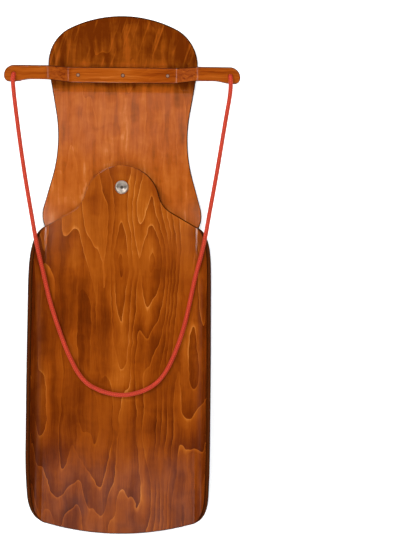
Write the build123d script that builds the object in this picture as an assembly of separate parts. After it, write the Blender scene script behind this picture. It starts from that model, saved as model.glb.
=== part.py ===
"""Steerable wooden sled: a seat shell and a steered front shell on one upright pivot, a bar and a pull rope.

Millimetres. X runs across the sled, Y forward to the nose, Z up from the ground.
The pieces are drawn with the pivot at X = Y = 0 and moved at the end to the middle of the sled's length.
"""

import os
from math import acos, asin, atan, atan2, cos, hypot, pi, radians, sin, sqrt, tan

from build123d import *

# Reach of the sled before and behind the pivot
NOSE_REACH = 362.0
TAIL_REACH = 748.0

# Sheet: lacquered plywood over a thin sliding base
PLY = 8.0
BASE = 1.0
EDGE_ROUND = 2.0

# Rear shell: a trough with rolled-up sides
FLOOR_HALF = 155.0
ROLL_RADIUS = 30.0
ROLL_ANGLE = 82.0
RIM_HIGH = 50.0
REAR_CROWN_RADIUS = 578.0
RIM_RADIUS = 350.0
STEP_FRONT = 140.0
STEP_LENGTH = 320.0

# Tongue of the rear shell and its shoulders
TONGUE_RADIUS = 82.0
TONGUE_SET_BACK = 34.0
NECK_RADIUS = 57.0
SHOULDER_ANGLE = 30.0
SHOULDER_X = 161.0
SHOULDER_Y = 84.0

# Front shell
NOSE_HALF = 160.5
NOSE_CROWN_RADIUS = 268.0
NOSE_CORNER_RADIUS = 83.0
WAIST_HALF = 140.0
WAIST_Y = 107.0
WAIST_RADIUS = 322.0
LOBE_HALF = 172.0
LOBE_RADIUS = 62.0
LOBE_END = 122.0
NOSE_BEND_START = 203.0
NOSE_BEND_RADIUS = 60.0
NOSE_ANGLE = 16.0

# Steering bar, drawn flat on the slope of the nose
BAR_Y = 241.5
BAR_THICK = 9.0
BAR_HALF = 251.0
BAR_FLAT_HALF = 113.0
BAR_RISE = 22.0
BAR_RISE_END = 158.0
BAR_BEND_RADIUS = 26.0
BAR_DEPTH = 33.0
GRIP_DEPTH = 29.5
GRIP_LOBE = 5.6
GRIP_END_FRONT = 22.0
GRIP_END_BACK = 12.0
BAR_SOFT = 2.5
SCREW_X = 96.0
SCREW_HEAD = 9.0
SCREW_SHANK = 4.5
SCREW_BITE = 6.0

# Pivot
BOLT_HEAD = 29.0
BOLT_HEAD_HIGH = 5.0
BOLT_SHANK = 8.0
BOLT_SOCKET = 6.0
BOLT_DISH = 2.6
SLEEVE = 11.0
NUT_FLANGE = 24.0
NUT_FLANGE_THICK = 2.4
NUT_LIFT = 0.6
TURN_GAP = 0.05
GLIDE_THICK = 2.0
GLIDE_DISC = 60.0

# Pull rope
ROPE = 9.0
ROPE_HOLE = 10.6
ROPE_HOLE_INSET = 21.0
ROPE_LIFT = 0.6
KNOT_RADIUS = 11.0

SHEET = PLY + BASE
FRONT_TOP = SHEET
TONGUE_TOP = FRONT_TOP + GLIDE_THICK + SHEET
STEP_DROP = TONGUE_TOP - SHEET
ROPE_HOLE_X = BAR_HALF - ROPE_HOLE_INSET
MIDDLE = Pos(0, (TAIL_REACH - NOSE_REACH) / 2, 0)


def polar(centre, radius, angle):
    return (centre[0] + radius * cos(angle), centre[1] + radius * sin(angle))


def belt(circles):
    """Closed outline round circles (x, y, radius), joined by tangents; a negative radius bends inward."""
    touch = []
    for i, (x1, y1, r1) in enumerate(circles):
        x2, y2, r2 = circles[(i + 1) % len(circles)]
        apart = hypot(x2 - x1, y2 - y1)
        lean = max(-1.0, min(1.0, (r2 - r1) / apart))
        heading = atan2(y2 - y1, x2 - x1) - asin(lean)
        touch.append((polar((x1, y1), -r1, heading + pi / 2), polar((x2, y2), -r2, heading + pi / 2)))
    edges = []
    for i, (x, y, r) in enumerate(circles):
        start = touch[i - 1][1]
        end = touch[i][0]
        begin = atan2(start[1] - y, start[0] - x)
        turn = atan2(end[1] - y, end[0] - x) - begin
        turn = turn % (2 * pi) if r > 0 else turn % (2 * pi) - 2 * pi
        edges.append(ThreePointArc(start, polar((x, y), abs(r), begin + turn / 2), end).edge())
        if hypot(touch[i][1][0] - end[0], touch[i][1][1] - end[1]) > 0.001:
            edges.append(Line(end, touch[i][1]).edge())
    return Face(Wire(edges))


def both_sides(right):
    """Closes a list of right-hand circles with their mirror images, in the order of the outline."""
    return right + [(-x, y, r) for x, y, r in reversed(right) if x != 0]


def limited(corners):
    """Corner radii of an outline of (x, y, radius), made less where two corners overrun the run between them."""
    runs = []
    reach = []
    for i, (x, y, r) in enumerate(corners):
        after = corners[(i + 1) % len(corners)]
        came = Vector(x - corners[i - 1][0], y - corners[i - 1][1])
        goes = Vector(after[0] - x, after[1] - y)
        runs.append(came.length)
        reach.append(r * tan(radians(came.get_angle(goes)) / 2) + 0.001)
    radii = []
    for i, (x, y, r) in enumerate(corners):
        j = (i + 1) % len(corners)
        behind = 0.98 * runs[i] / (reach[i - 1] + reach[i])
        ahead = 0.98 * runs[j] / (reach[i] + reach[j])
        radii.append(r * min(1.0, behind, ahead))
    return radii


def sheet(surface, thick):
    """Sheet of a given thickness hung under a surface, its edge square to the surface."""
    facing = surface.faces().sort_by(SortBy.AREA)[-1].normal_at().Z
    return Solid.thicken(surface, -thick if facing > 0 else thick)


def rim_of(surface, solid):
    """Edges of a solid that run along the free border of the surface it hangs under."""
    faces = surface.faces()
    border = [e.center() for e in surface.edges() if sum(e in f.edges() for f in faces) == 1]
    return [e for e in solid.edges() if any((e.center() - c).length < 0.001 for c in border)]


def ground(radius, low, high):
    """Upright round bar on the pivot axis between two heights."""
    return Cylinder(radius, high - low, align=(Align.CENTER, Align.CENTER, Align.MIN)).moved(Pos(0, 0, low))


# Rear shell: the trough line carried along the tongue, the shallow step and the seat
roll = radians(ROLL_ANGLE)
roll_end = (FLOOR_HALF + ROLL_RADIUS * sin(roll), ROLL_RADIUS * (1 - cos(roll)))
roll_mid = (FLOOR_HALF + ROLL_RADIUS * sin(roll / 2), ROLL_RADIUS * (1 - cos(roll / 2)))
# the lip is drawn past the rim, which then cuts it level
lip = (RIM_HIGH - SHEET - roll_end[1]) / sin(roll) + PLY
lip_end = (roll_end[0] + lip * cos(roll), roll_end[1] + lip * sin(roll))
far_front = TONGUE_RADIUS + 30
far_back = -TAIL_REACH - 30


def section(x, z):
    return (x, far_front, TONGUE_TOP + z)


trough = Wire(
    [
        Line(section(-lip_end[0], lip_end[1]), section(-roll_end[0], roll_end[1])).edge(),
        ThreePointArc(
            section(-roll_end[0], roll_end[1]),
            section(-roll_mid[0], roll_mid[1]),
            section(-FLOOR_HALF, 0),
        ).edge(),
        Line(section(-FLOOR_HALF, 0), section(FLOOR_HALF, 0)).edge(),
        ThreePointArc(section(FLOOR_HALF, 0), section(*roll_mid), section(*roll_end)).edge(),
        Line(section(*roll_end), section(*lip_end)).edge(),
    ]
)
step_turn = 2 * atan(STEP_DROP / STEP_LENGTH)
step_radius = STEP_LENGTH / 2 / sin(step_turn)
step_back = STEP_FRONT + STEP_LENGTH
step_sag = step_radius * (1 - cos(step_turn / 2))
step_reach = step_radius * sin(step_turn / 2)
step_middle = (0, -STEP_FRONT - STEP_LENGTH / 2, TONGUE_TOP - STEP_DROP / 2)
run = Wire(
    [
        Line((0, far_front, TONGUE_TOP), (0, -STEP_FRONT, TONGUE_TOP)).edge(),
        ThreePointArc(
            (0, -STEP_FRONT, TONGUE_TOP),
            (0, -STEP_FRONT - step_reach, TONGUE_TOP - step_sag),
            step_middle,
        ).edge(),
        ThreePointArc(step_middle, (0, -step_back + step_reach, SHEET + step_sag), (0, -step_back, SHEET)).edge(),
        Line((0, -step_back, SHEET), (0, far_back, SHEET)).edge(),
    ]
)
rear_surface = Shell.sweep(trough, run)

# Rear plan: tongue, necks, sloping shoulders run out past the sides, crowned tail
shoulder = radians(SHOULDER_ANGLE)
wide = lip_end[0] + 60
slope = (SHOULDER_X, -SHOULDER_Y)
away = TONGUE_RADIUS + NECK_RADIUS
# the neck circle touches the tongue circle and the shoulder line from outside
neck_off = slope[0] * sin(shoulder) + slope[1] * cos(shoulder) + NECK_RADIUS
tongue_off = -TONGUE_SET_BACK * cos(shoulder)
along = sqrt(away**2 - (neck_off - tongue_off) ** 2)
along_tongue = TONGUE_SET_BACK * sin(shoulder)
neck = (
    (along_tongue + along) * cos(shoulder) + neck_off * sin(shoulder),
    -(along_tongue + along) * sin(shoulder) + neck_off * cos(shoulder),
)
out_y = slope[1] - (wide - slope[0]) * tan(shoulder)
tail_y = -TAIL_REACH + REAR_CROWN_RADIUS - sqrt(REAR_CROWN_RADIUS**2 - wide**2)
neck_low = polar(neck, NECK_RADIUS, -pi / 2 - shoulder)
neck_in = atan2(-TONGUE_SET_BACK - neck[1], -neck[0])
neck_side = polar(neck, NECK_RADIUS, neck_in)
neck_middle = polar(neck, NECK_RADIUS, (neck_in % (2 * pi) + 1.5 * pi - shoulder) / 2)
rear_plan = Face(
    Wire(
        [
            ThreePointArc((-wide, tail_y), (0, -TAIL_REACH), (wide, tail_y)).edge(),
            Line((wide, tail_y), (wide, out_y)).edge(),
            Line((wide, out_y), neck_low).edge(),
            ThreePointArc(neck_low, neck_middle, neck_side).edge(),
            ThreePointArc(
                neck_side,
                (0, TONGUE_RADIUS - TONGUE_SET_BACK),
                (-neck_side[0], neck_side[1]),
            ).edge(),
            ThreePointArc(
                (-neck_side[0], neck_side[1]),
                (-neck_middle[0], neck_middle[1]),
                (-neck_low[0], neck_low[1]),
            ).edge(),
            Line((-neck_low[0], neck_low[1]), (-wide, out_y)).edge(),
            Line((-wide, out_y), (-wide, tail_y)).edge(),
        ]
    )
)

# Rear side view: a level rim that sinks to the floor in an arc at the shoulders and at the tail
def meet(steep, rim):
    """Height and half-width where the sunk rim runs smoothly into a plan edge of a given slope."""
    lean = atan(steep * tan(acos(1 - rim / RIM_RADIUS)))
    return (ROLL_RADIUS * (1 - cos(lean)), FLOOR_HALF + ROLL_RADIUS * sin(lean))


def side(y, z):
    return (0, y, z)


tail_rim = RIM_HIGH - SHEET
tail_z, tail_x = meet(FLOOR_HALF / sqrt(REAR_CROWN_RADIUS**2 - FLOOR_HALF**2), tail_rim)
tail_meet = -TAIL_REACH + REAR_CROWN_RADIUS - sqrt(REAR_CROWN_RADIUS**2 - tail_x**2)
tail_turn = acos(1 - (tail_rim - tail_z) / RIM_RADIUS)
tail_start = tail_meet + RIM_RADIUS * sin(tail_turn)
front_rim = RIM_HIGH - TONGUE_TOP
front_z, front_x = meet(tan(shoulder), front_rim)
front_meet = slope[1] - (front_x - slope[0]) * tan(shoulder)
front_turn = acos(1 - (front_rim - front_z) / RIM_RADIUS)
front_start = front_meet - RIM_RADIUS * sin(front_turn)
rear_side = Face(
    Wire(
        [
            Line(side(far_back, -20), side(far_back, SHEET + tail_z)).edge(),
            Line(side(far_back, SHEET + tail_z), side(tail_meet, SHEET + tail_z)).edge(),
            ThreePointArc(
                side(tail_meet, SHEET + tail_z),
                side(
                    tail_start - RIM_RADIUS * sin(tail_turn / 2),
                    RIM_HIGH - RIM_RADIUS * (1 - cos(tail_turn / 2)),
                ),
                side(tail_start, RIM_HIGH),
            ).edge(),
            Line(side(tail_start, RIM_HIGH), side(front_start, RIM_HIGH)).edge(),
            ThreePointArc(
                side(front_start, RIM_HIGH),
                side(
                    front_start + RIM_RADIUS * sin(front_turn / 2),
                    RIM_HIGH - RIM_RADIUS * (1 - cos(front_turn / 2)),
                ),
                side(front_meet, TONGUE_TOP + front_z),
            ).edge(),
            Line(side(front_meet, TONGUE_TOP + front_z), side(far_front, TONGUE_TOP + front_z)).edge(),
            Line(side(far_front, TONGUE_TOP + front_z), side(far_front, -20)).edge(),
            Line(side(far_front, -20), side(far_back, -20)).edge(),
        ]
    )
)
rear_trim = extrude(rear_plan, 300, both=True) & extrude(rear_side, wide, dir=(1, 0, 0), both=True)
rear_surface = Shell((rear_surface & rear_trim).faces())
rear_shell = sheet(rear_surface, PLY)
rear_base = sheet(rear_surface, SHEET) - rear_shell
rear_shell = rear_shell.fillet(EDGE_ROUND, rim_of(rear_surface, rear_shell))

# Front shell: flat, then turned up to the nose
nose = radians(NOSE_ANGLE)
bend_end = (
    NOSE_BEND_START + NOSE_BEND_RADIUS * sin(nose),
    FRONT_TOP + NOSE_BEND_RADIUS * (1 - cos(nose)),
)
bend_mid = (
    NOSE_BEND_START + NOSE_BEND_RADIUS * sin(nose / 2),
    FRONT_TOP + NOSE_BEND_RADIUS * (1 - cos(nose / 2)),
)
ahead = NOSE_REACH + 20
half = max(NOSE_HALF, LOBE_HALF) + 20


def left(y, z):
    return (-half, y, z)


front_line = Wire(
    [
        Line(left(-LOBE_END - 20, FRONT_TOP), left(NOSE_BEND_START, FRONT_TOP)).edge(),
        ThreePointArc(left(NOSE_BEND_START, FRONT_TOP), left(*bend_mid), left(*bend_end)).edge(),
        Line(left(*bend_end), left(ahead, bend_end[1] + (ahead - bend_end[0]) * tan(nose))).edge(),
    ]
)
corner_x = NOSE_HALF - NOSE_CORNER_RADIUS
crown_y = NOSE_REACH - SHEET * sin(nose) - NOSE_CROWN_RADIUS
corner_y = crown_y + sqrt((NOSE_CROWN_RADIUS - NOSE_CORNER_RADIUS) ** 2 - corner_x**2)
front_plan = belt(
    both_sides(
        [
            (LOBE_HALF - LOBE_RADIUS, LOBE_RADIUS - LOBE_END, LOBE_RADIUS),
            (WAIST_HALF + WAIST_RADIUS, WAIST_Y, -WAIST_RADIUS),
            (corner_x, corner_y, NOSE_CORNER_RADIUS),
            (0, crown_y, NOSE_CROWN_RADIUS),
        ]
    )
)
front_surface = Shell.extrude(front_line, (2 * half, 0, 0))
front_surface = Shell((front_surface & extrude(front_plan, 300, both=True)).faces())
front_shell = sheet(front_surface, PLY)
front_base = sheet(front_surface, SHEET) - front_shell
front_shell = front_shell.fillet(EDGE_ROUND, rim_of(front_surface, front_shell))

# Steering bar: bent line across, cut to its outline, lying on the slope of the nose
slope_z = bend_end[1] + (BAR_Y - bend_end[0]) * tan(nose)
on_nose = Plane(origin=(0, BAR_Y, slope_z), x_dir=(1, 0, 0), z_dir=(0, -sin(nose), cos(nose)))
rise = atan2(BAR_RISE, BAR_RISE_END - BAR_FLAT_HALF)
shift = BAR_THICK * tan(rise / 2)
bar_out = BAR_HALF + 2 * BAR_THICK
under = [
    (-bar_out, BAR_RISE),
    (-BAR_RISE_END, BAR_RISE),
    (-BAR_FLAT_HALF, 0),
    (BAR_FLAT_HALF, 0),
    (BAR_RISE_END, BAR_RISE),
    (bar_out, BAR_RISE),
]
over = [
    (-bar_out, BAR_RISE + BAR_THICK),
    (-BAR_RISE_END - shift, BAR_RISE + BAR_THICK),
    (-BAR_FLAT_HALF - shift, BAR_THICK),
    (BAR_FLAT_HALF + shift, BAR_THICK),
    (BAR_RISE_END + shift, BAR_RISE + BAR_THICK),
    (bar_out, BAR_RISE + BAR_THICK),
]
outer = BAR_BEND_RADIUS + BAR_THICK
under_line = FilletPolyline(*under, radius=[BAR_BEND_RADIUS, outer, outer, BAR_BEND_RADIUS])
over_line = FilletPolyline(*over, radius=[outer, BAR_BEND_RADIUS, BAR_BEND_RADIUS, outer])
bar_face = make_face(
    under_line.edges()
    + over_line.edges()
    + [Line(under[0], over[0]).edge(), Line(under[-1], over[-1]).edge()]
)
bar_plank = extrude(Plane.XZ * bar_face, 2 * BAR_DEPTH, both=True)
grip_mid = BAR_RISE * tan(nose)
grip_back = grip_mid - GRIP_DEPTH / 2
grip_front = grip_mid + GRIP_DEPTH / 2
grip_long = BAR_HALF - BAR_RISE_END
bar_right = [
    (BAR_FLAT_HALF, -BAR_DEPTH / 2, 60),
    (BAR_RISE_END, grip_back, 60),
    (BAR_RISE_END + 0.45 * grip_long, grip_back, 60),
    (BAR_RISE_END + 0.76 * grip_long, grip_back - GRIP_LOBE, 30),
    (BAR_HALF, grip_back - GRIP_LOBE, GRIP_END_BACK),
    (BAR_HALF, grip_front, GRIP_END_FRONT),
    (BAR_RISE_END, grip_front, 60),
    (BAR_FLAT_HALF, BAR_DEPTH / 2, 60),
]
bar_corners = bar_right + [(-x, y, r) for x, y, r in reversed(bar_right)]
bar_outline = FilletPolyline(*[(x, y) for x, y, r in bar_corners], radius=limited(bar_corners), close=True)
bar_plan = make_face(bar_outline.edges())
steering_bar = (bar_plank & extrude(bar_plan, 4 * BAR_DEPTH, both=True)).solid()
walls = [f for f in steering_bar.faces() if abs(f.normal_at().Z) < 0.01]
along_walls = [e for e in steering_bar.edges() if sum(e in f.edges() for f in walls) == 1]
steering_bar = steering_bar.fillet(BAR_SOFT, along_walls)
hole_y = grip_mid - 4
for x in (-ROPE_HOLE_X, ROPE_HOLE_X):
    steering_bar -= Pos(x, hole_y, BAR_RISE) * Cylinder(ROPE_HOLE / 2, 6 * BAR_THICK)

# Bar screws: countersunk, through the bar into the plywood
head_deep = (SCREW_HEAD - SCREW_SHANK) / 2
screw_line = Polyline(
    (0, BAR_THICK),
    (SCREW_HEAD / 2, BAR_THICK),
    (SCREW_SHANK / 2, BAR_THICK - head_deep),
    (SCREW_SHANK / 2, -SCREW_BITE),
    (0, -SCREW_BITE),
    close=True,
)
screw = revolve(Plane.XZ * make_face(screw_line.edges()), Axis.Z)
bar_screws = []
for x in (-SCREW_X, 0, SCREW_X):
    placed = Pos(x, 0, 0) * screw
    steering_bar -= placed
    front_shell -= on_nose.location * placed
    for turn in (45, 135):
        placed -= Pos(x, 0, BAR_THICK) * Rot(0, 0, turn) * Box(SCREW_HEAD * 0.55, 1.1, 2.4)
    bar_screws.append(on_nose.location * placed)
steering_bar = on_nose.location * steering_bar

# Pivot: bolt through the tongue into a flat sleeve nut, on which the front shell turns
shank = ground(BOLT_SHANK / 2, NUT_LIFT + NUT_FLANGE_THICK, TONGUE_TOP)
top = TONGUE_TOP
dish_z = top + BOLT_HEAD_HIGH - BOLT_DISH
head_line = [
    Line((0, top), (BOLT_HEAD / 2, top)).edge(),
    Line((BOLT_HEAD / 2, top), (BOLT_HEAD / 2, top + 0.3 * BOLT_HEAD_HIGH)).edge(),
    ThreePointArc(
        (BOLT_HEAD / 2, top + 0.3 * BOLT_HEAD_HIGH),
        (0.475 * BOLT_HEAD, top + 0.8 * BOLT_HEAD_HIGH),
        (0.42 * BOLT_HEAD, top + BOLT_HEAD_HIGH),
    ).edge(),
    Line((0.42 * BOLT_HEAD, top + BOLT_HEAD_HIGH), (0.4 * BOLT_HEAD, top + BOLT_HEAD_HIGH)).edge(),
    Line((0.4 * BOLT_HEAD, top + BOLT_HEAD_HIGH), (0.13 * BOLT_HEAD, dish_z)).edge(),
    Line((0.13 * BOLT_HEAD, dish_z), (0, dish_z)).edge(),
    Line((0, dish_z), (0, top)).edge(),
]
bolt_head = revolve(Plane.XZ * make_face(head_line), Axis.Z)
hexagon = RegularPolygon(BOLT_SOCKET / 2, 6, major_radius=False)
socket = extrude(Pos(0, 0, top + 1) * hexagon, BOLT_HEAD_HIGH)
pivot_bolt = bolt_head + shank - socket
nut_top = NUT_LIFT + NUT_FLANGE_THICK
nut_hex = extrude(Pos(0, 0, NUT_LIFT) * hexagon, 1.6)
pivot_nut = ground(NUT_FLANGE / 2, NUT_LIFT, nut_top) + ground(SLEEVE / 2, nut_top, TONGUE_TOP - SHEET)
pivot_nut = pivot_nut - shank - nut_hex
glide_disc = ground(GLIDE_DISC / 2, FRONT_TOP + TURN_GAP, FRONT_TOP + GLIDE_THICK)
glide_disc = glide_disc - ground(SLEEVE / 2, 0, TONGUE_TOP)
rear_shell = rear_shell - ground(BOLT_SHANK / 2, 0, TONGUE_TOP + 5)
rear_base = rear_base - ground(BOLT_SHANK / 2, 0, TONGUE_TOP + 5)
nut_room = ground(NUT_FLANGE / 2 + 1, -1, nut_top + 2 * TURN_GAP)
front_shell = front_shell - ground(SLEEVE / 2 + TURN_GAP, 0, TONGUE_TOP) - nut_room
front_base = front_base - nut_room

# Pull rope: up through the left bar end, over the rim, round the seat and back the same way
hole_under = on_nose.from_local_coords((0, hole_y, BAR_RISE - 7))
hole_over = on_nose.from_local_coords((0, hole_y, BAR_RISE + BAR_THICK + 10))
lying = ROPE / 2 + ROPE_LIFT


def floor_height(y):
    """Height of the rear shell's floor at y."""
    past = -y - STEP_FRONT
    ahead_of = step_back + y
    if past <= 0:
        return TONGUE_TOP
    if ahead_of <= 0:
        return SHEET
    if past < ahead_of:
        return TONGUE_TOP - step_radius + sqrt(step_radius**2 - past**2)
    return SHEET + step_radius - sqrt(step_radius**2 - ahead_of**2)


def on_seat(x, y, lift=0.0):
    """Rope centre lying on the rear shell at x, y."""
    into = max(0.0, abs(x) - FLOOR_HALF)
    rolled = ROLL_RADIUS - sqrt(max(0.0, (ROLL_RADIUS - lying) ** 2 - into**2))
    return (x, y, floor_height(y) + rolled + lift)


def hanging(x, y, share):
    """Rope centre between the rim and the bar, at a share of the way up."""
    return (x, y, rim_z + share * (hole_over.Z - rim_z))


# the rope crosses the rim where it has risen to its middle
rim_z = RIM_HIGH - RIM_RADIUS + sqrt(RIM_RADIUS**2 - (125 + front_start) ** 2) + lying + 1.4
up_left = [
    (-ROPE_HOLE_X, hole_under.Y, hole_under.Z),
    (-ROPE_HOLE_X, hole_over.Y, hole_over.Z),
    hanging(1 - ROPE_HOLE_X, hole_over.Y - 29, 0.8),
    hanging(-222, 147, 0.6),
    hanging(-212, 73, 0.36),
    hanging(-201, 3, 0.16),
    hanging(-190, -58, 0.04),
    hanging(-182, -103, 0),
]
seat = [
    on_seat(-175, -141, 2.5),
    on_seat(-164, -192, 0.6),
    on_seat(-151, -249),
    on_seat(-134, -301),
    on_seat(-113, -358),
    on_seat(-82, -417),
    on_seat(-40, -441),
    on_seat(10, -450),
    on_seat(62, -435),
    on_seat(95, -406),
    on_seat(119, -355),
    on_seat(138, -298),
    on_seat(150, -241),
    on_seat(160, -190, 0.6),
    on_seat(173, -142, 2.5),
]
up_right = [
    hanging(181, -104, 0),
    hanging(189, -53, 0.04),
    hanging(200, 9, 0.16),
    hanging(211, 79, 0.36),
    hanging(222, 150, 0.6),
    hanging(ROPE_HOLE_X + 1, hole_over.Y - 29, 0.8),
    (ROPE_HOLE_X, hole_over.Y, hole_over.Z),
    (ROPE_HOLE_X, hole_under.Y, hole_under.Z),
]
route = up_left + seat + up_right
vectors = [Vector(*p) for p in route]
bends = []
for before, here, after in zip(vectors, vectors[1:], vectors[2:]):
    came = here - before
    goes = after - here
    turn = radians(came.get_angle(goes))
    bends.append(0.45 * min(came.length, goes.length) / tan(turn / 2))
rope_line = FilletPolyline(*route, radius=bends)
start = Plane(origin=rope_line @ 0, z_dir=rope_line % 0)
rope = sweep(start * Circle(ROPE / 2), path=rope_line)
rope_length = rope_line.length
print("rope length", round(rope_length, 1), "radii", [round(b) for b in bends])
print("rope volume over section times length", round(rope.volume / (pi * ROPE**2 / 4 * rope_length), 4))
knots = []
for x in (-ROPE_HOLE_X, ROPE_HOLE_X):
    ball = Sphere(KNOT_RADIUS) & Box(4 * KNOT_RADIUS, 4 * KNOT_RADIUS, 1.5 * KNOT_RADIUS)
    place = on_nose.location * Pos(x, hole_y, BAR_RISE - 0.75 * KNOT_RADIUS)
    knots.append(place * ball - rope)

nodes = {
    "rear_shell": [rear_shell],
    "rear_base": [rear_base],
    "front_shell": [front_shell],
    "front_base": [front_base],
    "steering_bar": [steering_bar],
    "bar_screws": bar_screws,
    "pivot_bolt": [pivot_bolt],
    "pivot_nut": [pivot_nut],
    "glide_disc": [glide_disc],
    "rope": [rope],
    "rope_knot_left": [knots[0]],
    "rope_knot_right": [knots[1]],
}
os.makedirs("parts", exist_ok=True)
for name, pieces in nodes.items():
    solids = [s for piece in pieces for s in piece.solids()]
    shape = MIDDLE * (solids[0] if len(solids) == 1 else Compound(children=solids))
    export_step(shape, f"parts/{name}.step")
    box = shape.bounding_box()
    print(name, len(solids), round(shape.volume), [round(v, 1) for v in (*box.min, *box.max)])
print("route", [tuple(round(v, 1) for v in MIDDLE.position + Vector(*p)) for p in route])
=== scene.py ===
"""Looks of the steerable wooden sled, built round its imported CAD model, in metres."""

import math

import bpy
import numpy as np
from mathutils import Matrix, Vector
from mathutils.bvhtree import BVHTree


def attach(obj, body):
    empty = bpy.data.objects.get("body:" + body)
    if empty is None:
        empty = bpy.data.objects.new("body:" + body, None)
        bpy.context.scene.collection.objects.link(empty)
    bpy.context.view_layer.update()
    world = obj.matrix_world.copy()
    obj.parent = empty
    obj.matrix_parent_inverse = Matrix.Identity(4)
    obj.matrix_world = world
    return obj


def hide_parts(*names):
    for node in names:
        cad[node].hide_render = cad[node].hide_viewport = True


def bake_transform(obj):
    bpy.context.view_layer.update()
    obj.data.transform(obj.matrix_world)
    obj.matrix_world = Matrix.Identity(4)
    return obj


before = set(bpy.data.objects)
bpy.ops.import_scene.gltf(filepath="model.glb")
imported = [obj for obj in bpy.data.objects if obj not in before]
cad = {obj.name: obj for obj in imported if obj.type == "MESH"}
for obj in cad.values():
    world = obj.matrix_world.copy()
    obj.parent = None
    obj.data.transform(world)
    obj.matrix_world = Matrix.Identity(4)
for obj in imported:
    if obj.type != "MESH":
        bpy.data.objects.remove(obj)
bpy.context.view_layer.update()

MM = 0.001
scene = bpy.context.scene
scene.view_settings.view_transform = "Standard"

# Camera: straight above the sled, a little to its right, as the larger view in the photograph
PHOTO_SIZE = (400, 546)
CAMERA_HIGH = 2.1
CAMERA_TURN = math.radians(0.65)
DECK_HIGH = 9 * MM
DECK_PER_PIXEL = 2.16 * MM
PIVOT = Vector((0, 193 * MM, 20 * MM))
PIVOT_PIXEL = (121.8, 187.3)
SENSOR = 36

focal_pixels = (CAMERA_HIGH - DECK_HIGH) / DECK_PER_PIXEL
pixel_at_pivot = (CAMERA_HIGH - PIVOT.z) / focal_pixels
image_right = Vector((math.cos(CAMERA_TURN), math.sin(CAMERA_TURN), 0))
image_up = Vector((-math.sin(CAMERA_TURN), math.cos(CAMERA_TURN), 0))
eye = PIVOT - image_right * (PIVOT_PIXEL[0] - PHOTO_SIZE[0] / 2) * pixel_at_pivot
eye = eye - image_up * (PHOTO_SIZE[1] / 2 - PIVOT_PIXEL[1]) * pixel_at_pivot
eye.z = CAMERA_HIGH
view = bpy.data.cameras.new("photo_view")
view.sensor_fit = "VERTICAL"
view.sensor_height = SENSOR
view.lens = focal_pixels * SENSOR / PHOTO_SIZE[1]
camera = bpy.data.objects.new("photo_view", view)
camera.location = eye
camera.rotation_euler = (0, 0, CAMERA_TURN)
scene.collection.objects.link(camera)
scene.camera = camera

# Pull rope: one braided length from bar end to bar end, in millimetres
ROPE_ROUTE = [
    (-230, 432.6, 32.7),
    (-230, 425.4, 57.7),
    (-229, 396.4, 54.5),
    (-222, 340, 51.4),
    (-212, 266, 47.7),
    (-201, 196, 44.6),
    (-190, 135, 42.7),
    (-182, 90, 42.1),
    (-175, 52, 37.7),
    (-164, 1, 26.8),
    (-151, -56, 22.5),
    (-134, -108, 19.5),
    (-113, -165, 16.3),
    (-82, -224, 14.5),
    (-40, -248, 14.2),
    (10, -257, 14.1),
    (62, -242, 14.2),
    (95, -213, 14.7),
    (119, -162, 16.5),
    (138, -105, 19.7),
    (150, -48, 22.9),
    (160, 3, 25.7),
    (173, 51, 35.3),
    (181, 89, 42.1),
    (189, 140, 42.7),
    (200, 202, 44.6),
    (211, 272, 47.7),
    (222, 343, 51.4),
    (231, 396.4, 54.5),
    (230, 425.4, 57.7),
    (230, 432.6, 32.7),
]
ROPE = 9 * MM
ROUTE_STEPS = 24
ROUTE_ORDER = 3
# twelve yarns, six each way, each two over and two under
YARNS = 6
YARN_TURN = 30 * MM
YARN_RELIEF = 0.5 * MM
# how full a yarn's back is, how far it dips to go under, and the share of its relief inside the radius
YARN_FULL = 0.7
YARN_DIP = 0.65
YARN_SUNK = 0.6
# the rope's skin has this space between rings and this many sides, and a short cone at each end
ROPE_RING = 0.9 * MM
ROPE_SIDES = 32
ROPE_TIP = ROPE / 4
TIP_SHADE = 0.2
# a direction that no rope sets out in
SLANT = (0.3, 0.5, 0.81)


def line_of(name, points):
    """Points along the smooth line that a cord's route points steer, in metres."""
    curve = bpy.data.curves.new(name, "CURVE")
    curve.dimensions = "3D"
    curve.resolution_u = ROUTE_STEPS
    spline = curve.splines.new("NURBS")
    spline.points.add(len(points) - 1)
    for point, place in zip(spline.points, points):
        point.co = (*(Vector(place) * MM), 1)
    spline.order_u = ROUTE_ORDER
    spline.use_endpoint_u = True
    holder = bpy.data.objects.new(name, curve)
    scene.collection.objects.link(holder)
    bpy.context.view_layer.update()
    mesh = bpy.data.meshes.new_from_object(holder)
    line = np.array([v.co for v in mesh.vertices])
    bpy.data.objects.remove(holder)
    bpy.data.curves.remove(curve)
    bpy.data.meshes.remove(mesh)
    return line


def rings_along(line):
    """Even rings along a line: how far along each is, its centre, its heading and its side direction."""
    steps = np.linalg.norm(np.diff(line, axis=0), axis=1)
    gone = np.concatenate([[0], np.cumsum(steps)])
    along = np.linspace(0, gone[-1], int(gone[-1] / ROPE_RING) + 1)
    centre = np.stack([np.interp(along, gone, line[:, k]) for k in range(3)], axis=1)
    heading = np.gradient(centre, axis=0)
    heading /= np.linalg.norm(heading, axis=1)[:, None]
    # a ring's side direction is carried along the line without twist
    side = np.cross(heading[0], SLANT)
    sides = []
    for way in heading:
        side = side - way * side.dot(way)
        side = side / np.linalg.norm(side)
        sides.append(side)
    return along, centre, heading, np.array(sides)


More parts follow.
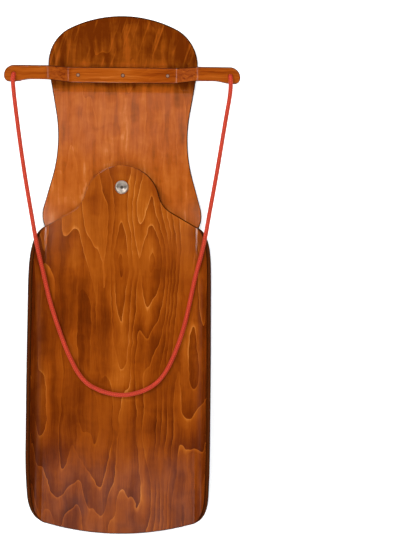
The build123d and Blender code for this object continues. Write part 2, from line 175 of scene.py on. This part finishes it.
def braid(along, turn):
    """The yarns at each ring and side: how high the skin stands, and how far across its yarn it is."""
    left = YARNS * (turn[None] + along[:, None] / YARN_TURN)
    right = YARNS * (turn[None] - along[:, None] / YARN_TURN)
    cell = (np.floor(left) + np.floor(right)) % 4
    across = np.where(cell < 2, left % 1, right % 1)
    passed = np.where(cell < 2, cell + right % 1, cell - 2 + left % 1) / 2
    crown = np.sin(np.pi * across) ** YARN_FULL * (1 - YARN_DIP + YARN_DIP * np.sin(np.pi * passed))
    return crown, across


def braided(name, line):
    """A braided rope along a line: the piece, and the centres of its rings."""
    along, centre, heading, side = rings_along(line)
    turn = np.arange(ROPE_SIDES) / ROPE_SIDES
    crown, across = braid(along, turn)
    over = np.cross(heading, side)
    spoke = (
        np.cos(2 * np.pi * turn)[None, :, None] * side[:, None]
        + np.sin(2 * np.pi * turn)[None, :, None] * over[:, None]
    )
    radius = ROPE / 2 + YARN_RELIEF * (crown - YARN_SUNK)
    skin = (centre[:, None] + radius[:, :, None] * spoke).reshape(-1, 3)
    near = np.arange(len(along) - 1)[:, None] * ROPE_SIDES
    far = near + ROPE_SIDES
    here = np.arange(ROPE_SIDES)
    after = (here + 1) % ROPE_SIDES
    quads = np.stack([near + here, near + after, far + after, far + here], axis=2)
    faces = quads.reshape(-1, 4).tolist()
    tips = len(skin)
    last = tips - ROPE_SIDES
    for i, j in zip(here.tolist(), after.tolist()):
        faces.append((tips, j, i))
        faces.append((tips + 1, last + i, last + j))
    points = np.vstack([skin, centre[0] - ROPE_TIP * heading[0], centre[-1] + ROPE_TIP * heading[-1]])
    mesh = bpy.data.meshes.new(name)
    mesh.from_pydata(points.tolist(), [], faces)
    for label, values in (("crown", crown), ("across", across)):
        shade = mesh.attributes.new(label, "FLOAT", "POINT")
        values = np.append(values.ravel(), (TIP_SHADE, TIP_SHADE))
        shade.data.foreach_set("value", values.astype(np.float32))
    mesh.shade_smooth()
    piece = bpy.data.objects.new(name, mesh)
    scene.collection.objects.link(piece)
    return piece, centre


rope, rope_centres = braided("pull_rope", line_of("pull_rope_route", ROPE_ROUTE))

# Overhand knot under a bar end, in millimetres from the middle of the hole at the bar's underside:
# to the sled's middle, forward along the bar's face, and up out of it
KNOT_ROUTE = [
    (0, 0, 9),
    (0, 0, 2),
    (0, 0.4, -6),
    (-0.6, 0.8, -13),
    (1.5, 0.6, -19),
    (7.6, 0, -21.5),
    (13.8, -0.6, -19.5),
    (15.6, -1.6, -12.5),
    (12.6, -5, -6.2),
    (5.5, -8.6, -5),
    (-3.5, -8, -6),
    (-8.4, -2, -7.6),
    (-6.4, 5.6, -9.6),
    (0.6, 8.6, -11.6),
    (6.4, 5.2, -12.8),
    (7.6, -1.5, -13),
    (7.9, -8.5, -13.6),
    (8.4, -15, -15),
]
BAR_TILT = math.radians(16)
HOLE_UNDER = {"left": Vector((-230, 430.3, 40.3)), "right": Vector((230, 430.3, 40.3))}
knots = []
for side_name, place in HOLE_UNDER.items():
    inward = -1 if place.x > 0 else 1
    tied = []
    for x, y, z in KNOT_ROUTE:
        lean_y = y * math.cos(BAR_TILT) - z * math.sin(BAR_TILT)
        lean_z = y * math.sin(BAR_TILT) + z * math.cos(BAR_TILT)
        tied.append((place.x + inward * x, place.y + lean_y, place.z + lean_z))
    knot = braided(f"tied_knot_{side_name}", line_of(f"knot_route_{side_name}", tied))[0]
    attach(knot, "front")
    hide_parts(f"rope_knot_{side_name}")
    knots.append(knot)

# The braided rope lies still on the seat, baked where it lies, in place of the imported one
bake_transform(rope)
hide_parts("rope")


def colour(code):
    """Linear colour of an sRGB hex value."""
    parts = [int(code[i : i + 2], 16) / 255 for i in (1, 3, 5)]
    return (*[c / 12.92 if c <= 0.04045 else ((c + 0.055) / 1.055) ** 2.4 for c in parts], 1)


def add(tree, kind, links=None, stops=None, **settings):
    """Adds a node with its settings. links gives each input a value, a socket or a node, which stands for
    its first output; stops gives a ramp its colours."""
    made = tree.nodes.new(kind)
    for name, value in settings.items():
        setattr(made, name, value)
    for name, value in (links or {}).items():
        if isinstance(value, bpy.types.Node):
            value = value.outputs[0]
        if isinstance(value, bpy.types.NodeSocket):
            tree.links.new(value, made.inputs[name])
        else:
            made.inputs[name].default_value = value
    for i, (place, code) in enumerate(stops or []):
        band = made.color_ramp.elements
        stop = band[i] if i < 2 else band.new(place)
        stop.position = place
        stop.color = colour(code)
    return made


def material(name):
    """A new material and its empty node tree."""
    made = bpy.data.materials.new(name)
    made.use_nodes = True
    made.node_tree.nodes.clear()
    return made, made.node_tree


def dress(piece, finish):
    """Gives a piece its only material."""
    piece.data.materials.clear()
    piece.data.materials.append(finish)


# Height in the plywood over its underside, in millimetres, so that a cut edge can show the veneers
PLY = 8.0
VENEERS = 7
# below the first height the edge shows alone, above the second the face does; the rounding between them
# darkens, partly with the edge's stain and partly as painted shade
EDGE_ONLY = PLY - 0.4
FACE_ONLY = PLY - 0.04
BAR_THICK = 9.0
BAR_MIDDLE = Vector((0, 434.5, 17.6)) * MM
# the bar bends up between these distances from its middle, and its grips lie this much higher
BAR_BEND = (113, 158)
GRIP_RISE = 22
# near the bend a face that looks up this far is the top
BEND_FACES = (105, 175)
LOOKS_UP = 0.85
# a shell's rounded rim starts at its top and ends between these two heights
RIM_TOP = PLY - 0.1
RIM_FOOT = (PLY - 3.5, PLY - 0.5)
# its colour is the dark cut edge, partly the edge's own stain and partly painted shade on the rounding;
# on the tongue's left and tip it is thinned as painted light from the front-left, with a soft change over
# these two stretches
DARK_RIM = EDGE_ONLY
PAINTED_LIT_RIM = PLY - 0.06
LIT_RIM_LEFT = (15 * MM, 60 * MM)
LIT_RIM_AHEAD = (90 * MM, 120 * MM)


def shell_heights(shell, base):
    """Height of each vertex of a shell over the laminate that is bonded under it."""
    skin = cad[base].data
    under = BVHTree.FromPolygons([v.co for v in skin.vertices], [p.vertices for p in skin.polygons])
    return np.array([under.find_nearest(v.co)[3] / MM for v in cad[shell].data.vertices])


def bar_heights():
    """Height of each vertex of the bar over its underside, scaled to the thickness of the shells."""
    bar_up = Vector((0, -math.sin(BAR_TILT), math.cos(BAR_TILT)))
    found = []
    for v in cad["steering_bar"].data.vertices:
        out = abs(v.co.x) / MM
        rise = GRIP_RISE * np.interp(out, BAR_BEND, (0, 1))
        height = ((v.co - BAR_MIDDLE).dot(bar_up) / MM - rise) * PLY / BAR_THICK
        bend_top = BEND_FACES[0] < out < BEND_FACES[1] and v.normal.dot(bar_up) > LOOKS_UP
        found.append(PLY if bend_top else min(height, PLY))
    return np.array(found)


def patches(mesh):
    """The number of each vertex's patch: the lowest of the vertices that edges join it to."""
    one, two = np.array([edge.vertices for edge in mesh.edges]).T
    patch = np.arange(len(mesh.vertices))
    before = None
    while before is None or (patch != before).any():
        before = patch.copy()
        np.minimum.at(patch, one, before[two])
        np.minimum.at(patch, two, before[one])
    return patch


def stain_and_shade_rim(mesh, height, stain_and_shade):
    """Gives each patch that turns from a shell's top to its side the height that shows as a dark rim,
    partly the cut edge's stain and partly painted shade, or a paler one where painted light thins it.
    """
    patch = patches(mesh)
    for first in np.unique(patch):
        own = patch == first
        if height[own].max() > RIM_TOP and RIM_FOOT[0] < height[own].min() < RIM_FOOT[1]:
            height[own] = stain_and_shade[own]


heights = {
    "rear_shell": shell_heights("rear_shell", "rear_base"),
    "front_shell": shell_heights("front_shell", "front_base"),
    "steering_bar": bar_heights(),
}
rear_spots = np.array([v.co for v in cad["rear_shell"].data.vertices])
# the rim thinned on the tongue's left and tip is painted light from the front-left
painted_rim_light = np.interp(rear_spots[:, 0], LIT_RIM_LEFT, (1, 0)) * np.interp(rear_spots[:, 1], LIT_RIM_AHEAD, (0, 1))
stain_and_shade_rim(cad["rear_shell"].data, heights["rear_shell"], DARK_RIM + (PAINTED_LIT_RIM - DARK_RIM) * painted_rim_light)
front_rim = np.full(len(heights["front_shell"]), DARK_RIM)
stain_and_shade_rim(cad["front_shell"].data, heights["front_shell"], front_rim)
for name, height in heights.items():
    layer = cad[name].data.attributes.new("ply_height", "FLOAT", "POINT")
    layer.data.foreach_set("value", height.astype(np.float32))

# Sizes that all the plywood shares: growth lines wander this far, in swings this long
WANDER = (12 * MM, 35 * MM, 0)
WANDER_SIZE = 45 * MM
# the stain hides the lines in places this large
HIDDEN_SIZE = 130 * MM
# a pale line takes this share of the way to the next one
LINE_SHARE = 0.11
# from this distance off the middle the lines crowd towards one side
CROWD_FROM = 20 * MM
# width and length of the places where the lacquer lies thick or thin, and the depth of the pores
FILM_SIZE = (26 * MM, 60 * MM, 26 * MM)
PORE_DEEP = 0.2 * MM


def spots(tree, place, size, detail, roughness=0.5, seed=(0, 0, 0)):
    """A pattern of soft spots that are as wide, long and high as size says."""
    spread = add(
        tree,
        "ShaderNodeMapping",
        {"Vector": place, "Location": seed, "Scale": [1 / length for length in size]},
    )
    return add(
        tree,
        "ShaderNodeTexNoise",
        {"Vector": spread, "Scale": 1.0, "Detail": detail, "Roughness": roughness},
    )


def growth_steps(tree, bent, axes, seed, hills, climb, arches):
    """How far each place is from one growth line to the next, as between the contours of a hilly map."""
    width, length, lines_up = hills
    hill = spots(tree, bent, (width, length, width), 1.4, 0.42, seed)
    rise = add(tree, "ShaderNodeMath", {0: hill, 1: lines_up}, operation="MULTIPLY")
    rise = add(
        tree,
        "ShaderNodeMath",
        {0: axes.outputs["Y"], 1: climb[1], 2: rise},
        operation="MULTIPLY_ADD",
    )
    # where the board climbs steeply the lines cross it as arches
    start, end, lines_across = arches
    arch = add(
        tree,
        "ShaderNodeMapRange",
        {"Value": axes.outputs["Y"], "From Min": start, "From Max": end, "To Max": lines_across},
        interpolation_type="SMOOTHSTEP",
    )
    rise = add(tree, "ShaderNodeMath", {0: arch, 1: rise}, operation="ADD")
    # the lines crowd together towards one side of the board
    aside = add(tree, "ShaderNodeMath", {0: axes.outputs["X"], 1: CROWD_FROM}, operation="MAXIMUM")
    rise = add(tree, "ShaderNodeMath", {0: aside, 1: climb[0], 2: rise}, operation="MULTIPLY_ADD")
    return add(tree, "ShaderNodeMath", {0: rise}, operation="FRACT")


def growth_lines(tree, place, step, lines):
    """Tone of the growth lines, about a middle of 0.5."""
    # stain took the lines well in some places and hid them in others
    hidden = add(tree, "ShaderNodeTexNoise", {"Vector": place, "Scale": 1 / HIDDEN_SIZE, "Detail": 1.0})
    shown = add(
        tree,
        "ShaderNodeMapRange",
        {"Value": hidden, "From Min": 0.36, "From Max": 0.6, "To Min": 0.15, "To Max": 1.0},
    )
    bright, shade = lines
    line = add(
        tree,
        "ShaderNodeMapRange",
        {"Value": step, "From Min": 0.0, "From Max": LINE_SHARE, "To Min": bright, "To Max": 0.0},
    )
    fade = add(
        tree,
        "ShaderNodeMapRange",
        {"Value": step, "From Min": 0.0, "From Max": 1.0, "To Min": shade, "To Max": -shade},
    )
    marks = add(tree, "ShaderNodeMath", {0: line, 1: fade}, operation="ADD")
    return add(tree, "ShaderNodeMath", {0: marks, 1: shown, 2: 0.5}, operation="MULTIPLY_ADD")


def slanted_streaks(tree, tone, place, axes, slants):
    """Pale streaks that lean over one end of the board, added to its tone."""
    lean, width, length, swing, start, end = slants
    leant = add(
        tree,
        "ShaderNodeMapping",
        {"Vector": place, "Rotation": (0, 0, lean), "Scale": (width, length, length)},
        vector_type="TEXTURE",
    )
    streaks = add(
        tree,
        "ShaderNodeTexNoise",
        {"Vector": leant, "Scale": 1.0, "Detail": 2.0, "Roughness": 0.5},
    )
    pale = add(
        tree,
        "ShaderNodeMapRange",
        {"Value": streaks, "From Min": 0.57, "From Max": 0.72, "To Min": 0.0, "To Max": swing},
    )
    reach = add(
        tree,
        "ShaderNodeMapRange",
        {"Value": axes.outputs["Y"], "From Min": start, "From Max": end},
    )
    return add(tree, "ShaderNodeMath", {0: pale, 1: reach, 2: tone}, operation="MULTIPLY_ADD")


def cut_veneers(tree, height):
    """Colour of the cut edge: seven veneers, long grain and cross grain by turns, under the same stain."""
    pair = add(tree, "ShaderNodeMath", {0: height, 1: VENEERS / PLY / 2}, operation="MULTIPLY")
    pair = add(tree, "ShaderNodeMath", {0: pair}, operation="FRACT")
    return add(
        tree,
        "ShaderNodeValToRGB",
        {"Fac": pair},
        stops=[(0.0, "#351504"), (0.45, "#3B1805"), (0.5, "#663012"), (0.95, "#602C10"), (1.0, "#351504")],
    )


def plywood(
    name,
    stain_and_shade,
    seed,
    hills,
    climb,
    arches,
    lines,
    layers,
    drifts,
    grain_turn=0.0,
    turned_up=False,
    slants=None,
):
    """Birch plywood, stained cognac and lacquered. The eye gets pale growth lines like a map's contours,
    each bright on one side and fading to brown on the other, a cloudy stain, streaks along the grain
    and a wet gloss; the cut edge is dark brown with thin veneers."""
    made, tree = material(name)
    place = add(tree, "ShaderNodeTexCoord").outputs["Object"]
    place = add(tree, "ShaderNodeMapping", {"Vector": place, "Rotation": (0, 0, grain_turn)})
    # growth lines wander by some millimetres
    wander = add(tree, "ShaderNodeTexNoise", {"Vector": place, "Scale": 1 / WANDER_SIZE, "Detail": 2.0})
    shift = add(
        tree,
        "ShaderNodeVectorMath",
        {0: wander.outputs["Color"], 1: WANDER, 2: [-far / 2 for far in WANDER]},
        operation="MULTIPLY_ADD",
    )
    bent = add(tree, "ShaderNodeVectorMath", {0: place, 1: shift}, operation="ADD")
    axes = add(tree, "ShaderNodeSeparateXYZ", {"Vector": bent})
    step = growth_steps(tree, bent, axes, seed, hills, climb, arches)
    tone = growth_lines(tree, place, step, lines)
    # stain clouds, bands, streaks and, last, pores, which are drawn coarser than real ones to show;
    # on a board that turns up, height counts as length
    for width, length, swing, detail in layers:
        high = length if turned_up else width
        layer_spots = spots(tree, bent, (width, length, high), detail, 0.55, seed)
        change = add(
            tree,
            "ShaderNodeMapRange",
            {"Value": layer_spots, "From Min": 0.3, "From Max": 0.7, "To Min": -swing, "To Max": swing},
            clamp=False,
        )
        tone = add(tree, "ShaderNodeMath", {0: tone, 1: change}, operation="ADD")
    # the tone grows lighter or darker over some stretches of the board, some by the stain and some as
    # painted shade noted with the board
    for axis, start, end, before, after in drifts:
        along = axes.outputs[axis]
        change = add(
            tree,
            "ShaderNodeMapRange",
            {"Value": along, "From Min": start, "From Max": end, "To Min": before, "To Max": after},
            interpolation_type="SMOOTHSTEP",
        )
        tone = add(tree, "ShaderNodeMath", {0: tone, 1: change}, operation="ADD")
    if slants:
        tone = slanted_streaks(tree, tone, place, axes, slants)
    shades = [(i / (len(stain_and_shade) - 1), code) for i, code in enumerate(stain_and_shade)]
    face = add(tree, "ShaderNodeValToRGB", {"Fac": tone}, stops=shades)
    height = add(tree, "ShaderNodeAttribute", attribute_name="ply_height").outputs["Fac"]
    is_edge = add(
        tree,
        "ShaderNodeMapRange",
        {"Value": height, "From Min": EDGE_ONLY, "From Max": FACE_ONLY, "To Min": 1.0, "To Max": 0.0},
    )
    wood = add(
        tree,
        "ShaderNodeMix",
        {"Factor": is_edge, "A": face.outputs["Color"], "B": cut_veneers(tree, height)},
        data_type="RGBA",
    )
    # the lacquer soaks into the cut edge, which stays dull
    is_face = add(tree, "ShaderNodeMapRange", {"Value": is_edge, "To Min": 1.0, "To Max": 0.0})
    # and it lies unevenly on the faces, so that the light on it is cloudy
    film = spots(tree, bent, FILM_SIZE, 4.0, 0.6, seed)
    film = add(
        tree,
        "ShaderNodeMapRange",
        {"Value": film, "From Min": 0.41, "From Max": 0.59, "To Min": 0.5, "To Max": 0.76},
    )
    gloss = add(tree, "ShaderNodeMath", {0: is_face, 1: film}, operation="MULTIPLY")
    relief = add(
        tree,
        "ShaderNodeBump",
        {"Height": layer_spots, "Strength": 0.1, "Distance": PORE_DEEP},
    )
    lacquer = add(
        tree,
        "ShaderNodeBsdfPrincipled",
        {
            "Base Color": wood.outputs[2],
            "Roughness": 0.6,
            "Specular IOR Level": 0.0,
            "Coat Weight": gloss,
            "Coat Roughness": 0.13,
            "Coat IOR": 1.5,
            "Coat Normal": relief,
        },
    )
    add(tree, "ShaderNodeOutputMaterial", {"Surface": lacquer})
    return made


# The three boards, each with its tones from dark to light.
# hills: width, length, growth lines from foot to top; climb: lines to the metre aside and along;
# arches: start, end, lines between; lines: tone of the bright line, tone of the fade beside it;
# layers: width, length, swing of tone, detail; drifts: axis, start, end, tone added before and after;
# slants: lean, width, length, tone added, start and full reach along the board.
rear_ply = plywood(
    "stained_birch_ply_rear",
    stain_and_shade=["#4A1902", "#722E05", "#97460B", "#B35D16", "#D08034"],
    seed=(12.7, 3.3, 0),
    hills=(64 * MM, 420 * MM, 9.0),
    climb=(50.0, -4.65),
    arches=(20 * MM, 160 * MM, 1.8),
    lines=(0.28, 0.16),
    layers=[
        (75 * MM, 120 * MM, 0.16, 5.0),
        (28 * MM, 400 * MM, 0.09, 1.0),
        (7 * MM, 200 * MM, 0.05, 2.0),
        (50 * MM, 18 * MM, 0.03, 3.0),
        (1.6 * MM, 45 * MM, 0.06, 2.0),
    ],
    drifts=[
        ("X", -130 * MM, 10 * MM, -0.14, 0.0),
        ("X", 0.0, 40 * MM, 0.0, -0.07),
        # this line and the next darken the rolled sides as painted shade
        ("X", 155 * MM, 185 * MM, 0.0, -0.07),
        ("X", -185 * MM, -160 * MM, -0.05, 0.0),
        ("Y", -50 * MM, 120 * MM, 0.0, 0.15),
        ("Y", 120 * MM, 190 * MM, 0.0, -0.1),
        ("Y", -500 * MM, -250 * MM, -0.06, 0.0),
    ],
)
front_ply = plywood(
    "stained_birch_ply_front",
    stain_and_shade=["#6A2A03", "#8C430B", "#AE5312", "#BE6420", "#D8864A"],
    seed=(8.3, 2.2, 0),
    hills=(60 * MM, 500 * MM, 6.0),
    climb=(0.0, -3.0),
    arches=(440 * MM, 560 * MM, 0.8),
    lines=(0.14, 0.08),
    layers=[
        (30 * MM, 50 * MM, 0.18, 4.0),
        (22 * MM, 350 * MM, 0.12, 1.0),
        (8 * MM, 100 * MM, 0.14, 3.0),
        (60 * MM, 14 * MM, 0.05, 3.0),
        (1.6 * MM, 45 * MM, 0.05, 2.0),
    ],
    drifts=[
        ("Y", 350 * MM, 400 * MM, 0.09, -0.02),
        # painted shadow of the bar just behind it, then painted shade over the upturned nose: lighter just
        # in front of the bar, darker towards the tip
        ("Y", 390 * MM, 425 * MM, 0.0, -0.39),
        ("Y", 425 * MM, 440 * MM, 0.0, 0.25),
        ("Y", 448 * MM, 470 * MM, 0.0, -0.16),
        ("Y", 470 * MM, 520 * MM, 0.0, -0.06),
        ("Y", 525 * MM, 555 * MM, 0.0, -0.2),
        ("X", -150 * MM, -50 * MM, 0.04, 0.0),
        ("X", 20 * MM, 120 * MM, 0.0, -0.07),
    ],
    turned_up=True,
    slants=(math.radians(-20), 8 * MM, 160 * MM, 0.4, 430 * MM, 460 * MM),
)
bar_ply = plywood(
    "stained_birch_ply_bar",
    stain_and_shade=["#702A03", "#94400A", "#AC5210", "#BC6420", "#CE8040"],
    seed=(1.7, 4.6, 0),
    hills=(30 * MM, 400 * MM, 4.0),
    climb=(0.0, 2.0),
    arches=(0.0, 100 * MM, 1.0),
    lines=(0.1, 0.06),
    layers=[
        (20 * MM, 120 * MM, 0.08, 2.0),
        (4.5 * MM, 140 * MM, 0.22, 2.0),
        (1.4 * MM, 50 * MM, 0.1, 2.0),
    ],
    drifts=[
        ("Y", -165 * MM, -155 * MM, -0.09, -0.22),
        ("Y", -115 * MM, -105 * MM, 0.0, 0.16),
        ("Y", 10 * MM, 50 * MM, 0.0, -0.09),
    ],
    grain_turn=math.pi / 2,
)
dress(cad["rear_shell"], rear_ply)
dress(cad["front_shell"], front_ply)
dress(cad["steering_bar"], bar_ply)

# Braided polyester: the yarns' crowns are bright red, with painted shade darkening the creases between
# them; fine threads run along each yarn, drawn as few and coarse as they need to show
YARN_THREADS = 5
THREAD_HIGH = 0.1 * MM
rope_red, tree = material("braided_polyester_rope")
crown = add(tree, "ShaderNodeAttribute", attribute_name="crown").outputs["Fac"]
across = add(tree, "ShaderNodeAttribute", attribute_name="across").outputs["Fac"]
yarn_red_and_crease_shade = add(
    tree,
    "ShaderNodeValToRGB",
    {"Fac": crown},
    stops=[(0.0, "#821C0E"), (0.3, "#BC3620"), (1.0, "#DE4B30")],
)
threads = add(tree, "ShaderNodeMath", {0: across, 1: YARN_THREADS * 2 * math.pi}, operation="MULTIPLY")
threads = add(tree, "ShaderNodeMath", {0: threads}, operation="SINE")
relief = add(tree, "ShaderNodeBump", {"Height": threads, "Strength": 0.35, "Distance": THREAD_HIGH})
fibre = add(
    tree,
    "ShaderNodeBsdfPrincipled",
    {
        "Base Color": yarn_red_and_crease_shade,
        "Roughness": 0.55,
        "Specular IOR Level": 0.2,
        "Sheen Weight": 0.06,
        "Sheen Roughness": 0.4,
        "Sheen Tint": colour("#FFB09A"),
        "Normal": relief,
    },
)
add(tree, "ShaderNodeOutputMaterial", {"Surface": fibre})
for piece in (rope, *knots):
    dress(piece, rope_red)

# Sliding laminate: dark grey, satin, with fine rub marks along its run
RUB_SIZE = (1.5 * MM, 90 * MM, 1.5 * MM)
laminate, tree = material("grey_sliding_laminate")
place = add(tree, "ShaderNodeTexCoord").outputs["Object"]
rub = spots(tree, place, RUB_SIZE, 3.0)
grey = add(tree, "ShaderNodeValToRGB", {"Fac": rub}, stops=[(0.3, "#343537"), (0.7, "#4A4B4D")])
dull = add(
    tree,
    "ShaderNodeMapRange",
    {"Value": rub, "From Min": 0.3, "From Max": 0.7, "To Min": 0.34, "To Max": 0.5},
)
sheet = add(
    tree,
    "ShaderNodeBsdfPrincipled",
    {"Base Color": grey, "Roughness": dull, "Specular IOR Level": 0.3},
)
add(tree, "ShaderNodeOutputMaterial", {"Surface": sheet})
for name in ("rear_base", "front_base"):
    dress(cad[name], laminate)

# Turned steel of the bolt: silver, with fine rings round the pivot, drawn coarser than a lathe's,
# so that they show
BOLT_HEAD = 29 * MM
TURNED_SPACE = 0.7 * MM
TURNED_HIGH = 0.05 * MM
steel, tree = material("turned_bolt_steel")
place = add(tree, "ShaderNodeTexCoord").outputs["Object"]
flat = add(tree, "ShaderNodeMapping", {"Vector": place, "Location": (0, -PIVOT.y, 0), "Scale": (1, 1, 0)})
out = add(tree, "ShaderNodeVectorMath", {0: flat}, operation="LENGTH").outputs["Value"]
rings = add(tree, "ShaderNodeMath", {0: out, 1: 2 * math.pi / TURNED_SPACE}, operation="MULTIPLY")
rings = add(tree, "ShaderNodeMath", {0: rings}, operation="SINE")
relief = add(tree, "ShaderNodeBump", {"Height": rings, "Strength": 0.15, "Distance": TURNED_HIGH})
# painted shade darkens the socket in the head, the dish round it is mid grey and a painted highlight
# brightens the rim
part_out = add(tree, "ShaderNodeMath", {0: out, 1: BOLT_HEAD / 2}, operation="DIVIDE")
painted_bolt_shading = add(
    tree,
    "ShaderNodeValToRGB",
    {"Fac": part_out},
    stops=[(0.0, "#544C45"), (0.2, "#5E554D"), (0.26, "#988D84"), (0.58, "#9C9188"), (0.72, "#B0A294")],
)
shine = add(
    tree,
    "ShaderNodeBsdfPrincipled",
    {"Base Color": painted_bolt_shading, "Metallic": 1.0, "Roughness": 0.42, "Normal": relief},
)
add(tree, "ShaderNodeOutputMaterial", {"Surface": shine})
for name in ("pivot_bolt", "pivot_nut"):
    dress(cad[name], steel)

# Browned screws: dull, darker in a ring at the rim of each head
SCREW_SPACE = 96 * MM
DARK_RING = (2.2 * MM, 3.4 * MM)
browned, tree = material("browned_screw_steel")
place = add(tree, "ShaderNodeTexCoord").outputs["Object"]
on_bar = add(
    tree,
    "ShaderNodeMapping",
    {"Vector": place, "Location": BAR_MIDDLE, "Rotation": (BAR_TILT, 0, 0)},
    vector_type="TEXTURE",
)
axes = add(tree, "ShaderNodeSeparateXYZ", {"Vector": on_bar})
beside = add(tree, "ShaderNodeMath", {0: axes.outputs["X"], 1: SCREW_SPACE / 2}, operation="PINGPONG")
flat = add(tree, "ShaderNodeCombineXYZ", {"X": beside, "Y": axes.outputs["Y"]})
out = add(tree, "ShaderNodeVectorMath", {0: flat}, operation="LENGTH").outputs["Value"]
ring = add(tree, "ShaderNodeMapRange", {"Value": out, "From Min": DARK_RING[0], "From Max": DARK_RING[1]})
tint = add(
    tree,
    "ShaderNodeMix",
    {"Factor": ring, "A": colour("#B08A70"), "B": colour("#643820")},
    data_type="RGBA",
)
body = add(
    tree,
    "ShaderNodeBsdfPrincipled",
    {"Base Color": tint.outputs[2], "Roughness": 0.45, "Metallic": 1.0},
)
add(tree, "ShaderNodeOutputMaterial", {"Surface": body})
dress(cad["bar_screws"], browned)

# Black nylon of the glide disc, matt
nylon, tree = material("black_nylon")
body = add(tree, "ShaderNodeBsdfPrincipled", {"Base Color": colour("#262626"), "Roughness": 0.5})
add(tree, "ShaderNodeOutputMaterial", {"Surface": body})
dress(cad["glide_disc"], nylon)

# White floor, which keeps a faint shadow; it lies a little under the laminate
FLOOR_WIDE = 120
FLOOR_UNDER = 0.5 * MM
FLOOR_GLOW = 0.6
bpy.ops.object.select_all(action="DESELECT")
bpy.ops.mesh.primitive_plane_add(size=FLOOR_WIDE, location=(0, 0, -FLOOR_UNDER))
floor = bpy.context.object
floor.name = "floor"
white, tree = material("white_floor")
sight = add(tree, "ShaderNodeLightPath").outputs
seen = add(
    tree,
    "ShaderNodeMath",
    {0: sight["Is Camera Ray"], 1: sight["Is Glossy Ray"]},
    operation="MAXIMUM",
)
seen = add(tree, "ShaderNodeMath", {0: seen, 1: sight["Is Transmission Ray"]}, operation="MAXIMUM")
glow = add(tree, "ShaderNodeMath", {0: seen, 1: FLOOR_GLOW}, operation="MULTIPLY")
matt = add(
    tree,
    "ShaderNodeBsdfPrincipled",
    {
        "Base Color": colour("#F2F2F2"),
        "Roughness": 0.9,
        "Specular IOR Level": 0.0,
        "Emission Color": colour("#FFFFFF"),
        "Emission Strength": glow,
    },
)
add(tree, "ShaderNodeOutputMaterial", {"Surface": matt})
dress(floor, white)

# Studio air: pale in front and behind, dim at the sides and dark overhead,
# so that the deck keeps its deep colour
world = bpy.data.worlds.new("studio")
world.use_nodes = True
world.node_tree.nodes.clear()
tree = world.node_tree
way = add(tree, "ShaderNodeTexCoord").outputs["Generated"]
parts = add(tree, "ShaderNodeSeparateXYZ", {"Vector": way}).outputs
sky = add(
    tree,
    "ShaderNodeValToRGB",
    {"Fac": parts["Z"]},
    stops=[(0.0, "#FFFFFF"), (0.12, "#F4F4F4"), (0.5, "#D8D8D8"), (0.8, "#181818"), (1.0, "#0C0C0C")],
)
ends = add(tree, "ShaderNodeMath", {0: parts["Y"], 1: 2.0}, operation="POWER")
ends = add(
    tree,
    "ShaderNodeMapRange",
    {"Value": ends, "From Min": 0.0, "From Max": 0.7, "To Min": 0.3, "To Max": 1.0},
)
low = add(
    tree,
    "ShaderNodeMapRange",
    {"Value": parts["Z"], "From Min": 0.05, "From Max": 0.2, "To Min": 1.0, "To Max": 0.0},
)
level = add(tree, "ShaderNodeMath", {0: ends, 1: low}, operation="MAXIMUM")
air = add(tree, "ShaderNodeBackground", {"Color": sky, "Strength": level})
add(tree, "ShaderNodeOutputWorld", {"Surface": air})
scene.world = world


def softbox(name, place, target, size, power):
    """A flat lamp that faces a target and isn't seen itself."""
    lamp = bpy.data.lights.new(name, "AREA")
    lamp.shape = "RECTANGLE"
    lamp.size, lamp.size_y = size
    lamp.energy = power
    holder = bpy.data.objects.new(name, lamp)
    holder.location = place
    holder.rotation_euler = (Vector(target) - Vector(place)).to_track_quat("-Z", "Y").to_euler()
    holder.visible_camera = False
    scene.collection.objects.link(holder)


# Lamps: name, place, target, width and length, and watts
softbox("key_front_left", (-1.3, 1.8, 2.4), (0, 0, 0), (1.2, 1.2), 36)
softbox("key_front_right", (1.4, 1.8, 2.4), (0, 0, 0), (1.2, 1.2), 22.5)
softbox("fill_back_left", (-0.9, -2.4, 2.2), (0, 0, 0), (1.2, 1.2), 34)
softbox("haze_front", (0, 1.05, 2.3), (0, 1.05, 0), (2.0, 1.0), 6.5)
softbox("haze_rear", (0, -1.4, 2.3), (0, -1.4, 0), (2.0, 1.1), 6.3)
# short bright streaks on the rolled sides at the shoulders, and pale lines on the bends of the bar
softbox("streak_left", (0.52, 0.23, 2.0), (0.52, 0.23, 0), (0.6, 0.045), 3.0)
softbox("streak_right", (-0.82, 0.21, 2.0), (-0.82, 0.21, 0), (0.6, 0.045), 3.3)
for side in (-1, 1):
    softbox(f"bend_{side}", (side * 7.6, -6.1, 14.7), (0, 0.4, 0), (3.6, 1.4), 84)
